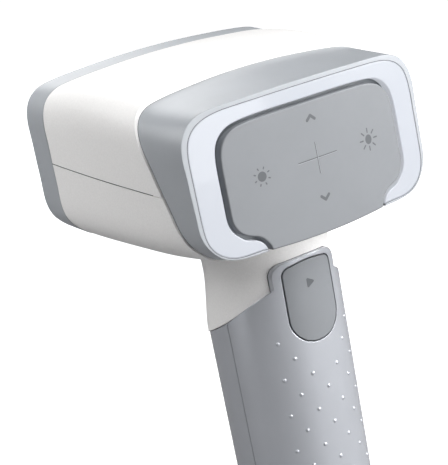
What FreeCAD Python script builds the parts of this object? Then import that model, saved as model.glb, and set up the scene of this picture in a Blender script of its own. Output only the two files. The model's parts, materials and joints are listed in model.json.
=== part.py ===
import FreeCAD, Part
import Sketcher
import math
import os
from FreeCAD import Placement, Rotation, Vector

# Handheld structured-light scanner: an upright oval handle carrying a wide head.
# Row frame: origin at the centre of the handle's flat foot, +Z up the handle axis,
# +Y in the scanning direction, +X to the user's right.  Millimetres and degrees.

doc = FreeCAD.newDocument("HandheldScanner")
sheet = doc.addObject("Spreadsheet::Sheet", "Dims")

DIMS = [
    # frames of the head, the rear panel and the front face
    ("panel_height", 201.2), ("panel_back", 42.07), ("panel_lean", 1.95), ("head_rise", 5.79),
    ("front_lean", 4.30), ("front_depth", 96.27), ("band_depth", 10.5),
    # head section
    ("side_half", 48.07), ("side_draft", 0.072), ("wall_thick", 2.0),
    ("collar_slope", 0.557), ("collar_start", 19.1), ("panel_radius", 329.4),
    ("seam_gap", 0.25), ("parting_level", -2.9),
    # light ring and control pad
    ("ring_depth", 3.0), ("pad_proud", 0.41), ("pad_thick", 3.0),
    ("pivot_depth", 6.4), ("pivot_pin", 1.2), ("pin_clear", 0.05),
    ("rim_bevel", 1.4), ("pocket_depth", 5.2), ("floor_thick", 1.8),
    # front face
    ("camera_offset", 35.5), ("camera_level", -6.0), ("camera_barrel", 9.0),
    ("projector_level", -6.0), ("projector_barrel", 12.0),
    ("texture_level", 14.0), ("texture_barrel", 5.0),
    ("diffuser_outer", 14.6), ("diffuser_inner", 9.4),
    ("emitter_window", 3.2), ("emitter_offset", 17.0),
    ("window_thick", 2.0), ("window_recess", 1.2), ("bezel_lip", 2.6),
    # optical bench and boards
    ("bench_level", -4.5), ("bench_thick", 4.0),
    ("board_thick", 1.6), ("main_width", 84.0), ("main_height", 40.0),
    # handle
    ("grip_half", 23.8), ("grip_deep", 25.9), ("grip_power", 2.2), ("grip_taper", 0.00021),
    ("grip_wall", 2.0), ("grip_parting", -4.2), ("cap_height", 9.0), ("frame_thick", 3.0),
    # scan button and the tab round it
    ("button_half", 10.1), ("button_top", 163.1), ("button_foot", 133.5), ("button_gap", 0.55),
    ("tab_half", 13.4), ("tab_top", 164.8),
    # cable socket
    ("socket_bore", 7.0), ("socket_wall", 1.5), ("socket_depth", 12.0), ("insert_long", 4.0),
    # fasteners, as radii apart from the head's height
    ("screw_head", 2.4), ("screw_head_tall", 1.6), ("screw_shank", 0.98),
    ("screw_pilot", 1.05), ("screw_clear", 1.4),
]
for row, (name, value) in enumerate(DIMS, start=1):
    sheet.set("A%d" % row, name)
    sheet.set("B%d" % row, repr(float(value)))
    sheet.setAlias("B%d" % row, name)
doc.recompute()


def dim(name):
    return float(sheet.get(name))


PARTS = []           # the labelled pieces, in the order they are exported


def keep(obj, label):
    obj.Label = label
    PARTS.append(obj)
    return obj


# ---------------------------------------------------------------- frames
XAX, YAX, ZAX = Vector(1, 0, 0), Vector(0, 1, 0), Vector(0, 0, 1)
ROW = Placement()
PANEL_AT = Vector(0, -dim("panel_back"), dim("panel_height"))
REAR = Placement(PANEL_AT, Rotation(XAX, -dim("panel_lean")))     # rear panel, Y into the head
HEAD = Placement(PANEL_AT, Rotation(XAX, dim("head_rise")))       # Y along the head
FRONT = HEAD.multiply(Placement(Vector(0, dim("front_depth"), 0),
                                Rotation(XAX, -dim("front_lean"))))   # front face, Y outwards
REAR_IN_HEAD = HEAD.inverse().multiply(REAR)
FRONT_IN_HEAD = HEAD.inverse().multiply(FRONT)
ROW_IN_HEAD = HEAD.inverse()


def facing(base, x, y, z):
    """A frame with local Z along the base frame's +Y and local Y pointing down."""
    return base.multiply(Placement(Vector(x, y, z), Rotation(XAX, -90)))


def down(level, centre):
    """Sketch height of a level on a facing plate centred at another level."""
    return centre - level


# ---------------------------------------------------------------- sketches and bodies
def new_body(label, placement):
    body = keep(doc.addObject("PartDesign::Body", "Body_" + label), label)
    body.Placement = placement
    return body


def new_sketch(body, name, role="XY_Plane"):
    sketch = body.newObject("Sketcher::SketchObject", name)
    plane = next(f for f in body.Origin.OriginFeatures if getattr(f, "Role", "") == role)
    sketch.AttachmentSupport = [(plane, "")]
    sketch.MapMode = "FlatFace"
    return sketch


def constrain(sketch, rule, *args):
    """Add a constraint and, where a rule is given, drive it by that expression."""
    index = sketch.addConstraint(Sketcher.Constraint(*args))
    if rule is not None:
        name = "dim%d" % index
        sketch.renameConstraint(index, name)
        sketch.setExpression("Constraints." + name, rule)


def locate(sketch, geometry, point, x, y, x_rule=None, y_rule=None):
    """Fix a point by its distances from the sketch axes, or on an axis where one is zero."""
    if abs(x) < 1e-9 and x_rule is None:
        constrain(sketch, None, "PointOnObject", geometry, point, -2)
    else:
        constrain(sketch, x_rule, "DistanceX", -1, 1, geometry, point, x)
    if abs(y) < 1e-9 and y_rule is None:
        constrain(sketch, None, "PointOnObject", geometry, point, -1)
    else:
        constrain(sketch, y_rule, "DistanceY", -1, 1, geometry, point, y)


def add_circle(sketch, x, y, radius, x_rule=None, y_rule=None):
    circle = sketch.addGeometry(Part.Circle(Vector(x, y, 0), ZAX, radius), False)
    constrain(sketch, None, "Radius", circle, radius)
    locate(sketch, circle, 3, x, y, x_rule, y_rule)


def add_loop(sketch, points):
    """Straight lines joined end to end through (x, y) points and back to the first."""
    corners = [Vector(x, y, 0) for x, y in points]
    ends = corners[1:] + corners[:1]
    lines = [sketch.addGeometry(Part.LineSegment(a, b), False) for a, b in zip(corners, ends)]
    for line, following in zip(lines, lines[1:] + lines[:1]):
        constrain(sketch, None, "Coincident", line, 2, following, 1)
    return lines


def add_polygon(sketch, points):
    for line, (x, y) in zip(add_loop(sketch, points), points):
        locate(sketch, line, 1, x, y)


def add_rect(sketch, width, height, width_rule=None, height_rule=None):
    """A rectangle centred on the sketch origin."""
    w, h = width / 2, height / 2
    lines = add_loop(sketch, [(-w, -h), (w, -h), (w, h), (-w, h)])
    constrain(sketch, None, "Horizontal", lines[0])
    constrain(sketch, None, "Horizontal", lines[2])
    constrain(sketch, None, "Vertical", lines[1])
    constrain(sketch, None, "Vertical", lines[3])
    constrain(sketch, width_rule, "DistanceX", lines[0], 1, lines[0], 2, width)
    constrain(sketch, height_rule, "DistanceY", lines[1], 1, lines[1], 2, height)
    constrain(sketch, None, "Symmetric", lines[0], 1, lines[2], 1, -1, 1)


def pad(body, sketch, alias):
    """Pad a sketch by a thickness held in the sheet."""
    feat = body.newObject("PartDesign::Pad", "Pad_" + body.Label)
    feat.Profile = sketch
    feat.Length = dim(alias)
    feat.setExpression("Length", "Dims." + alias)
    doc.recompute()


def pocket_through(body, sketch):
    volume_before = body.Shape.Volume
    feat = body.newObject("PartDesign::Pocket", "Pocket_" + body.Label)
    feat.Profile = sketch
    feat.Type = 1
    feat.Midplane = True
    doc.recompute()
    if body.Shape.Volume > volume_before - 1e-6:
        raise RuntimeError("pocket cut nothing in " + body.Label)


def turned(label, placement, points):
    """A turned piece: (radius, height) points revolved about the body's Z axis."""
    body = new_body(label, placement)
    sketch = new_sketch(body, "Sk_" + label, "XZ_Plane")
    add_polygon(sketch, points)
    feat = body.newObject("PartDesign::Revolution", "Rev_" + label)
    feat.Profile = sketch
    feat.ReferenceAxis = (sketch, ["V_Axis"])
    feat.Angle = 360.0
    doc.recompute()


def board(label, placement, width, height, holes, rules=(None, None), thick="board_thick"):
    """A flat rectangular plate with round holes (x, y, radius)."""
    body = new_body(label, placement)
    sketch = new_sketch(body, "Sk_" + label)
    add_rect(sketch, width, height, *rules)
    for hole in holes:
        add_circle(sketch, *hole)
    pad(body, sketch, thick)


# ---------------------------------------------------------------- free-form pieces
def feature(label, shape, placement):
    """A free-form piece whose shape is set in code from the sheet's sizes."""
    obj = doc.addObject("Part::Feature", "Form_" + label)
    obj.Shape = shape
    obj.Placement = placement
    keep(obj, label)


def group_of(label, shapes, placement):
    feature(label, Part.makeCompound(shapes), placement)


def moved(shape, placement):
    copy = shape.copy()
    copy.Placement = placement.multiply(copy.Placement)
    return copy


def single(shape):
    """The one solid of a boolean result (the largest, if slivers came with it)."""
    return max(shape.Solids, key=lambda solid: solid.Volume)


def block(width, depth, height, x, y, z):
    """A box centred on x and z, starting at y."""
    return Part.makeBox(width, depth, height, Vector(x - width / 2.0, y, z - height / 2.0))


def rod(radius, length, x, y, z, direction=YAX):
    return Part.makeCylinder(radius, length, Vector(x, y, z), direction)


def drilled(shape, places, radius, y, length, frame=ROW):
    """Cut round holes along +Y at (x, z) places of a frame, each starting at y."""
    for x, z in places:
        shape = shape.cut(moved(rod(radius, length, x, y, z), frame))
    return shape


def screws(label, frame, places, head_y, shank_y, shank_length,
           head=dim("screw_head"), head_tall=dim("screw_head_tall"), shank=dim("screw_shank")):
    """Screws along Y: each a cylindrical head fused with a plain shank."""
    group_of(label, [rod(head, head_tall, x, head_y, z)
                     .fuse(rod(shank, shank_length, x, shank_y, z)).removeSplitter()
                     for x, z in places], frame)


def lies_on(edge, gap, steps=4):
    """True where an edge stays on the surface from which gap(point) is the distance."""
    first, last = edge.FirstParameter, edge.LastParameter
    return all(abs(gap(edge.valueAt(first + (last - first) * k / steps))) <= 0.02
               for k in range(steps + 1))


def bevelled(shape, size_pairs, on_face):
    """Bevel the edges round a face; of several size pairs, keep the widest face left."""
    edges = [e for e in shape.Edges if on_face(e)]
    results = []
    for first, second in size_pairs:
        # The chamfer can fail on a lofted edge: that size pair is then passed over.
        try:
            cut = shape.makeChamfer(first, second, edges)
            if cut.isValid() and cut.Solids and abs(cut.Volume - shape.Volume) < 0.2 * shape.Volume:
                areas = [f.Area for f in cut.Faces
                         if all(on_face(e) for e in f.Edges if e.Length > 5.0)]
                results.append((max(areas, default=0.0), single(cut)))
        except Exception:
            pass
    return max(results, key=lambda result: result[0])[1] if results else shape


def softened(solid, radius, on_face):
    """Round the edges round a face."""
    # The fillet can fail on a spline outline: the edges then stay sharp.
    try:
        soft = solid.makeFillet(radius, [e for e in solid.Edges if on_face(e)])
        if soft.isValid() and soft.Solids:
            return single(soft)
    except Exception:
        pass
    return solid


# ---------------------------------------------------------------- curves and lofts
def chord_parameters(points):
    """Knots of a closed curve, spaced by the chords between its points."""
    totals = [0.0]
    for a, b in zip(points, points[1:] + points[:1]):
        totals.append(totals[-1] + (b - a).Length)
    return [total / totals[-1] for total in totals]


def closed_wire(points, knots):
    curve = Part.BSplineCurve()
    curve.interpolate(Points=points, PeriodicFlag=True, Parameters=knots)
    return Part.Wire([curve.toShape()])


def open_curve(points):
    curve = Part.BSplineCurve()
    curve.interpolate(Points=points)
    return curve.toShape()


def path(*points):
    """Straight edges through the points, in order."""
    return [Part.makeLine(a, b) for a, b in zip(points, points[1:])]


def loft(wires):
    return Part.makeLoft(wires, True, False, False, 5)


# ---------------------------------------------------------------- head surfaces
# Corner curves of the head section: (distance in from the side, distance in from the top or
# bottom).  Top corners run from the top to the side, bottom corners from the side down.
TOP_FRONT = [(11.5, 2.5), (7.6, 3.4), (4.9, 4.8), (2.6, 6.9), (1.2, 9.3), (0.35, 12.2),
             (0.0, 14.6)]
TOP_REAR = [(13.6, 0.5), (8.9, 1.2), (5.3, 2.8), (2.9, 5.3), (1.3, 8.0), (0.35, 10.8),
            (0.0, 13.5)]
FOOT_WHITE = [(0.0, 17.0), (0.7, 13.2), (2.4, 9.7), (5.2, 6.6), (8.9, 3.75), (14.0, 1.75),
              (21.0, 0.6)]
FOOT_GREY = [(0.0, 16.2), (0.7, 12.4), (2.4, 8.9), (5.2, 5.8), (8.9, 3.0), (14.0, 1.2),
             (21.0, 0.35)]
FOOT_REAR = [(0.0, 12.5), (0.5, 9.7), (1.7, 6.9), (3.9, 3.9), (6.9, 1.7), (10.7, 0.6),
             (16.0, 0.15)]


def mix(start, end, share):
    return [(p[0] * (1 - share) + q[0] * share, p[1] * (1 - share) + q[1] * share)
            for p, q in zip(start, end)]


def section_points(y, half, top, bottom, top_mix, foot_mix, foot=FOOT_WHITE):
    """One section across the head, as a ring of points from the top centre clockwise."""
    top_corner = mix(TOP_REAR, TOP_FRONT, top_mix)
    foot_corner = mix(FOOT_REAR, foot, foot_mix)
    inset, drop = top_corner[0]
    right = [((half - inset) * u, top - drop * u * u) for u in (0.0, 0.34, 0.68)]
    right += [(half - dx, top - dz) for dx, dz in top_corner]
    upper, lower = top - top_corner[-1][1], bottom + foot_corner[0][1]
    right += [(half, upper + (lower - upper) * u) for u in (0.2, 0.4, 0.6, 0.8)]
    right += [(half - dx, bottom + dz) for dx, dz in foot_corner]
    inset, rise = foot_corner[-1]
    right += [((half - inset) * u, bottom + rise * u * u) for u in (0.66, 0.33)]
    points = [Vector(x, y, z) for x, z in right]
    points.append(Vector(0, y, bottom))
    points += [Vector(-x, y, z) for x, z in reversed(right[1:])]
    return points


# Every section shares the knots of one typical section, so that the lofts run straight.
HEAD_KNOTS = chord_parameters(section_points(0, 51.5, 27.0, -36.0, 0.9, 0.9))


def side(y):
    """Half width of the drafted head at a station."""
    return dim("side_half") + dim("side_draft") * y


# Stations along the head: (y, half width, top, bottom, top corner mix, bottom corner mix);
# a mix of 0 is the rear corner and 1 the front one.
# Grey surface: the collar and the front band.
GREY_STATIONS = [
    (-9.0, 46.9, 26.0, -22.6, 0.0, 0.0),
    (4.0, 47.9, 26.3, -26.0, 0.25, 0.35),
    (14.0, side(14.0), 26.4, -28.4, 0.6, 0.65),
    (28.0, side(28.0), 26.6, -31.0, 0.9, 0.85),
    (48.0, side(48.0), 26.8, -33.3, 1.0, 0.95),
    (70.0, side(70.0), 26.7, -34.9, 1.0, 1.0),
    (88.0, side(88.0), 26.3, -35.2, 1.0, 1.0),
    (106.0, side(106.0), 25.7, -35.3, 1.0, 1.0),
]
# White shells: proud of the collar and crowned at mid depth.
WHITE_STATIONS = [
    (-9.0, 47.4, 26.4, -23.0, 0.0, 0.0),
    (4.0, 48.6, 26.8, -26.5, 0.25, 0.35),
    (14.0, side(14.0) + 0.75, 27.0, -28.9, 0.6, 0.65),
    (28.0, side(28.0) + 0.7, 27.5, -31.5, 0.9, 0.85),
    (44.0, side(44.0) + 0.5, 28.6, -33.3, 1.0, 0.95),
    (60.0, side(60.0) + 0.3, 28.9, -34.6, 1.0, 1.0),
    (76.0, side(76.0) + 0.1, 27.8, -35.5, 1.0, 1.0),
    (88.0, side(88.0) - 0.1, 26.2, -35.8, 1.0, 1.0),
    (104.0, side(104.0) - 0.3, 23.4, -35.9, 1.0, 1.0),
]


def head_loft(stations, foot, inset=0.0):
    return loft([closed_wire(section_points(y, half - inset, top - inset, bottom + inset,
                                            top_mix, foot_mix, foot), HEAD_KNOTS)
                 for y, half, top, bottom, top_mix, foot_mix in stations])


def grey_loft(inset=0.0):
    return head_loft(GREY_STATIONS, FOOT_GREY, inset)


BIG = 300.0          # longer than any piece it cuts
RADIUS = dim("panel_radius")
GAP = dim("seam_gap")


def panel_cylinder(depth):
    """The space in front of the curved rear face, from a depth below it (head frame)."""
    cylinder = Part.makeCylinder(RADIUS - depth, BIG, Vector(0, RADIUS, -BIG / 2), ZAX)
    return moved(cylinder, REAR_IN_HEAD)


def collar_prism(shift):
    """Everything behind the slanting collar seam (head frame)."""
    slope, start = dim("collar_slope"), dim("collar_start") + shift
    high, low, back = 60, -40, -60
    points = [Vector(-90, start + slope * high, high), Vector(-90, start + slope * low, low),
              Vector(-90, back, low), Vector(-90, back, high)]
    return Part.Face(Part.makePolygon(points + points[:1])).extrude(Vector(180, 0, 0))


def front_block(y_from, y_to):
    """A slab parallel to the front face, placed by its outward positions (head frame)."""
    return moved(block(BIG, y_to - y_from, BIG, 0, y_from, 0), FRONT_IN_HEAD)


def parting_block(level, up):
    """The space above or below the bowed seam between the head shells (head frame)."""
    far = 80.0 if up else -80.0
    rear_end, front_end = Vector(-90, -30, level + 2.8), Vector(-90, 130, level + 1.6)
    seam = Part.Arc(rear_end, Vector(-90, 50, level - 0.5), front_end).toShape()
    sides = path(front_end, Vector(-90, 130, far), Vector(-90, -30, far), rear_end)
    return Part.Face(Part.Wire([seam] + sides)).extrude(Vector(180, 0, 0))


GREY = grey_loft()
GREY_IN = grey_loft(dim("wall_thick"))
WHITE = head_loft(WHITE_STATIONS, FOOT_WHITE)
WHITE_IN = head_loft(WHITE_STATIONS, FOOT_WHITE, dim("wall_thick"))


# ---------------------------------------------------------------- handle surfaces
def grip_size(z):
    """Half width and half depth of the tapered grip at a height."""
    scale = 1.0 + dim("grip_taper") * (z - 137.0)
    return dim("grip_half") * scale, dim("grip_deep") * scale


def oval_points(half, deep, z):
    """Forty points of a superellipse."""
    def reach(ratio):
        return math.copysign(abs(ratio) ** (2.0 / dim("grip_power")), ratio)

    angles = [2 * math.pi * k / 40 for k in range(40)]
    return [Vector(half * reach(math.cos(a)), deep * reach(math.sin(a)), z) for a in angles]


OVAL_KNOTS = chord_parameters(oval_points(dim("grip_half"), dim("grip_deep"), 0))


def oval_loft(stations, inset=0.0):
    """A loft through ovals: (half width, half depth, z)."""
    return loft([closed_wire(oval_points(half - inset, deep - inset, z), OVAL_KNOTS)
                 for half, deep, z in stations])


def grip_solid(inset, z_from, z_to):
    heights = [z_from + (z_to - z_from) * u for u in (0.0, 0.5, 1.0)]
    return oval_loft([grip_size(z) + (z,) for z in heights], inset)


# Neck between grip and head: (half width, half depth, z).
NECK_STATIONS = [(23.75, 25.85, 128.0), (23.7, 25.8, 142.0), (22.7, 24.9, 149.0),
                 (21.9, 24.2, 156.0), (21.9, 24.3, 164.0), (23.2, 25.6, 172.0),
                 (25.5, 28.0, 180.0)]
# Slanting seam between the neck and the grip: (y, z).
NECK_SEAM = [(-60.0, 186.0), (-40.0, 169.5), (-30.0, 161.8), (-21.9, 155.3), (-15.0, 150.4),
             (-4.2, 143.5), (4.9, 139.2), (13.95, 135.6), (30.0, 130.3), (60.0, 122.0)]
SLANT = 1.12         # vertical shift that opens the slanting seam by one unit


def neck_cut(shift, up):
    """The space above or below the seam between neck and grip (row frame)."""
    points = [Vector(-80, y, z + shift * SLANT) for y, z in NECK_SEAM]
    far = 260.0 if up else -60.0
    rear_end, front_end = points[0], points[-1]
    sides = path(front_end, Vector(-80, front_end.y, far), Vector(-80, rear_end.y, far), rear_end)
    return Part.Face(Part.Wire([open_curve(points)] + sides)).extrude(Vector(160, 0, 0))


def rounded_outline(half, low, high, low_radius, high_radius, crown):
    """A face in the XZ plane with rounded corners, its top edge gently arched."""
    def corner(x, z, radius, start):
        angles = [math.radians(start + turn) for turn in (0, 45, 90)]
        return Part.Arc(*[Vector(x + radius * math.cos(a), 0, z + radius * math.sin(a))
                          for a in angles]).toShape()

    low_x, low_z = half - low_radius, low + low_radius
    high_x, high_z = half - high_radius, high - high_radius
    return Part.Face(Part.Wire([
        Part.makeLine(Vector(-low_x, 0, low), Vector(low_x, 0, low)),
        corner(low_x, low_z, low_radius, -90),
        Part.makeLine(Vector(half, 0, low_z), Vector(half, 0, high_z)),
        corner(high_x, high_z, high_radius, 0),
        Part.Arc(Vector(high_x, 0, high), Vector(0, 0, high + crown),
                 Vector(-high_x, 0, high)).toShape(),
        corner(-high_x, high_z, high_radius, 90),
        Part.makeLine(Vector(-half, 0, high_z), Vector(-half, 0, low_z)),
        corner(-low_x, low_z, low_radius, 180),
    ]))


def tab_prism(grow):
    """The rounded tab round the scan button, as a prism through the rear of the handle."""
    crown = 0.6
    outline = rounded_outline(dim("tab_half") + grow, 120.0, dim("tab_top") - crown + grow,
                              3.0, 4.6 + grow, crown)
    return outline.extrude(Vector(0, -60, 0))


def button_prism(grow):
    """The button's outline, as a prism through the rear wall of the handle."""
    crown = 0.9
    outline = rounded_outline(dim("button_half") + grow, dim("button_foot") - grow,
                              dim("button_top") - crown + grow, 9.6 + grow, 3.0 + grow, crown)
    outline.translate(Vector(0, -12, 0))
    return outline.extrude(Vector(0, -48, 0))


# ---------------------------------------------------------------- rear panel outlines
# Right-hand halves of the outlines, from the top centre clockwise: panel (x, z).
RING_OUT = [(0, 24.9), (14, 24.8), (26, 24.55), (32, 24.3), (37, 23.5), (41.5, 21.6),
            (44.4, 18.6), (45.8, 14.0), (46.1, 8.0), (46.1, 1.0), (46.1, -6.0),
            (46.05, -11.0), (45.5, -15.2), (43.9, -18.6), (41, -21.3), (37, -23.0),
            (32, -23.45), (25.2, -23.55)]
RING_IN = [(0, 20.4), (10, 20.38), (18, 20.25), (27, 19.65), (31, 18.7), (33.6, 17.1),
           (35.7, 14.6), (36.9, 10.8), (37.3, 6.0), (37.4, -1.0), (37.5, -8.0),
           (37.2, -12.2), (36.1, -14.8), (33.9, -17.2), (31.2, -19.0), (28.6, -19.7),
           (26.7, -20.9), (25.5, -22.6), (25.2, -23.55)]
PAD_OUT = [(0, 19.0), (10, 18.98), (18, 18.85), (26, 18.35), (29.8, 17.4), (32.3, 15.9),
           (34.2, 13.6), (35.4, 10.0), (35.8, 5.0), (35.9, -1.0), (36.0, -8.0),
           (35.8, -11.9), (34.6, -14.6), (32.3, -16.8), (29.6, -18.0), (27.1, -19.1),
           (25.2, -21.0), (24.1, -22.9), (23.6, -24.4)]
PRISM_SPAN = (-12, 16)      # y reach of the outline prisms
CUTTER_SPAN = (-14, 18)     # y reach of a prism that cuts another


def grown(half_points, distance):
    """Offset a half outline outwards by a distance."""
    moved_points = []
    last = len(half_points) - 1
    for i, (x, z) in enumerate(half_points):
        before = half_points[max(i - 1, 0)]
        after = half_points[min(i + 1, last)]
        dx, dz = after[0] - before[0], after[1] - before[1]
        length = math.hypot(dx, dz)
        normal_x, normal_z = (-dz / length, dx / length) if i else (0.0, 1.0)
        moved_points.append((x + normal_x * distance, z + normal_z * distance))
    return moved_points


def carried_down(end, start):
    """Closing edges that carry an outline down below the panel."""
    low = -45.0
    return path(end, Vector(end.x, end.y, low), Vector(start.x, start.y, low), start)


def outline_prism(half_points, span, closing):
    """A mirrored outline from lower right over the top to lower left, closed and extruded."""
    y_from, y_to = span
    points = [Vector(x, y_from, z) for x, z in reversed(half_points)]
    points += [Vector(-x, y_from, z) for x, z in half_points[1:]]
    edges = [open_curve(points)] + closing(points[-1], points[0])
    return Part.Face(Part.Wire(edges)).extrude(Vector(0, y_to - y_from, 0))


def ring_outer_prism(grow, closing=path):
    points = grown(RING_OUT, grow)
    points[-1] = (RING_OUT[-1][0], points[-1][1])
    return outline_prism(points, PRISM_SPAN, closing)


def ring_inner_prism(grow):
    """The space inside the ring, open at the bottom."""
    return outline_prism(grown(RING_IN, grow), CUTTER_SPAN, carried_down)


def pad_prism():
    """The control pad's outline, closed by a shallow arc below."""
    def foot_arc(end, start):
        return [Part.Arc(end, Vector(0, end.y, -25.25), start).toShape()]

    return outline_prism(grown(PAD_OUT, 0.0), PRISM_SPAN, foot_arc)


def curved_slab(depth_from, depth_to):
    """The curved slab between two depths below the rear face (panel frame)."""
    outer = Part.makeCylinder(RADIUS - depth_from, 90, Vector(0, RADIUS, -45), ZAX)
    inner = Part.makeCylinder(RADIUS - depth_to, 92, Vector(0, RADIUS, -46), ZAX)
    return outer.common(Part.makeBox(110, 30, 90, Vector(-55, -6, -45))).cut(inner)


def rear_gap(point, proud=0.0):
    """Distance of a panel-frame point from the curved rear face or one proud of it."""
    return math.hypot(point.x, point.y - RADIUS) - (RADIUS + proud)


# ---------------------------------------------------------------- rear collar
FLOOR = dim("pocket_depth")
PLATE_Y = 13.5              # rear face of the pad carrier's plate
PLATE_THICK = 2.0
PILOT, CLEAR = dim("screw_pilot"), dim("screw_clear")
CARRIER_SCREWS = [(-33.0, 10.5), (33.0, 10.5), (-31.0, -12.0), (31.0, -12.0)]


def make_rear_collar():
    bevel, deep_bevel = dim("rim_bevel"), 2.5
    to_panel = REAR_IN_HEAD.inverse()
    collar = single(GREY.common(panel_cylinder(0.0)).common(collar_prism(-GAP / 2)))
    collar = bevelled(collar, ((bevel, bevel), (bevel, deep_bevel), (deep_bevel, bevel)),
                      lambda e: lies_on(e, lambda p: rear_gap(to_panel.multVec(p)), 6))
    collar = collar.cut(GREY_IN.common(panel_cylinder(FLOOR + dim("floor_thick"))))
    # the recess that takes the light ring and the control pad
    recess = ring_outer_prism(0.12, carried_down).cut(moved(panel_cylinder(FLOOR), to_panel))
    collar = collar.cut(moved(recess, REAR_IN_HEAD))
    window = Part.makeBox(52, 30, 30, Vector(-26, 2, -17))
    window = window.fuse(Part.makeBox(16, 30, 36, Vector(-8, 2, -18)))
    collar = collar.cut(moved(window, REAR_IN_HEAD))
    # posts rooted in the floor that take the carrier screws
    post_y = FLOOR + 2.1
    post_end = PLATE_Y - 0.1
    for x, z in CARRIER_SCREWS:
        post = rod(3.0, post_end - post_y, x, post_y, z).cut(rod(PILOT, 12, x, FLOOR + 3.5, z))
        collar = collar.fuse(moved(post, REAR_IN_HEAD))
    collar = drilled(collar, CARRIER_SCREWS, PILOT, FLOOR + 4.4, 12, REAR_IN_HEAD)
    feature("rear_collar", single(collar.removeSplitter()), HEAD)


make_rear_collar()

# ---------------------------------------------------------------- light ring and its board
LED_PLACES = [(-41.8, 12.0), (-41.8, 2.0), (-41.8, -8.0), (-36.0, 20.6), (-24.0, 22.3),
              (-12.0, 22.6), (0.0, 22.65), (12.0, 22.6), (24.0, 22.3), (36.0, 20.6),
              (41.8, 12.0), (41.8, 2.0), (41.8, -8.0), (-38.5, -18.2), (38.5, -18.2)]


def make_light_ring():
    ring = ring_outer_prism(0.0).cut(ring_inner_prism(0.0))
    ring = single(ring.common(curved_slab(0.0, dim("ring_depth"))))
    feature("light_ring", softened(ring, 0.35, lambda e: lies_on(e, rear_gap)), REAR)

    margin = 1.2            # the board is this much narrower than the ring on each side
    led_board = ring_outer_prism(-margin).cut(ring_inner_prism(margin))
    feature("ring_led_board", single(led_board.common(curved_slab(4.3, 5.1))), REAR)

    led_depth = 3.45        # of an LED's rear face below the curved panel
    group_of("ring_leds", [block(1.6, 0.7, 1.0, x, x * x / (2 * RADIUS) + led_depth, z)
                           for x, z in LED_PLACES], REAR)


make_light_ring()

# ---------------------------------------------------------------- control pad
PIVOT_Y = dim("pivot_depth")
PIN = dim("pivot_pin")
PIN_BORE = PIN + dim("pin_clear")
PUSHERS = [(0, 13.65), (0, -13.65), (22.4, 0), (-22.4, 0)]      # up, down, right, left
KEY_SCREWS = [(-23.5, 12.5), (23.5, 12.5), (-23.5, -13.5), (23.5, -13.5)]
KEY_BOARD_Y = 9.3


def make_control_pad():
    proud = dim("pad_proud")
    body = single(pad_prism().common(curved_slab(-proud, dim("pad_thick") - proud)))
    body = softened(body, 0.5, lambda e: lies_on(e, lambda p: rear_gap(p, proud)))
    lug = block(7.0, 6.4, 9.0, 0, 2.0, 0).cut(rod(PIN_BORE, 20, 0, PIVOT_Y, -10, ZAX))
    body = body.fuse(lug)
    for x, z in PUSHERS:
        body = body.fuse(rod(2.0, 1.9, x, 2.0, z))
    # shallow engraved cross on the face
    for width, height in ((16.2, 0.5), (0.5, 10.6)):
        body = body.cut(block(width, 0.5, height, 0, -proud - 0.22, 0))
    feature("control_pad", single(body.removeSplitter()), REAR)


def make_gimbal():
    """Frame round the pad's lug: pins along Z hold the lug, pins along X hold the frame."""
    bore = PIN + 0.02
    frame = block(24.0, 4.0, 25.0, 0, PIVOT_Y - 2.0, 0)
    frame = frame.cut(block(11.0, 8.0, 13.0, 0, PIVOT_Y - 4.0, 0))
    frame = frame.cut(rod(bore, 30, 0, PIVOT_Y, -15, ZAX))
    frame = frame.cut(rod(bore, 40, -20, PIVOT_Y, 0, XAX))
    # notches in the upper and lower edges
    for z in (14.65, -14.65):
        frame = frame.cut(block(7.2, 8, 8, 0, PIVOT_Y - 4, z))
    feature("pad_gimbal", single(frame), REAR)
    group_of("pad_pins", [rod(PIN, 7.6, 0, PIVOT_Y, z, ZAX) for z in (-10.3, 2.7)], REAR)
    group_of("gimbal_pins", [rod(PIN, 10.0, x, PIVOT_Y, 0, XAX) for x in (-16.4, 6.4)], REAR)


def make_pad_carrier():
    """Plate behind the pad with two bearing posts and its screws."""
    carrier = block(76.0, PLATE_THICK, 31.0, 0, PLATE_Y, -1.0)
    for x in (-14.8, 14.8):
        carrier = carrier.fuse(block(4.0, 9.5, 7.0, x, 4.2, 0))
    carrier = carrier.cut(rod(PIN_BORE, 60, -30, PIVOT_Y, 0, XAX))
    carrier = drilled(carrier, CARRIER_SCREWS, CLEAR, 10, 10)
    carrier = carrier.cut(block(16, 10, 8, 0, 10, 0))
    feature("pad_carrier", single(carrier.removeSplitter()), REAR)
    screws("carrier_screws", REAR, CARRIER_SCREWS, head_y=PLATE_Y + PLATE_THICK + 0.02,
           shank_y=9.9, shank_length=5.7)


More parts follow.
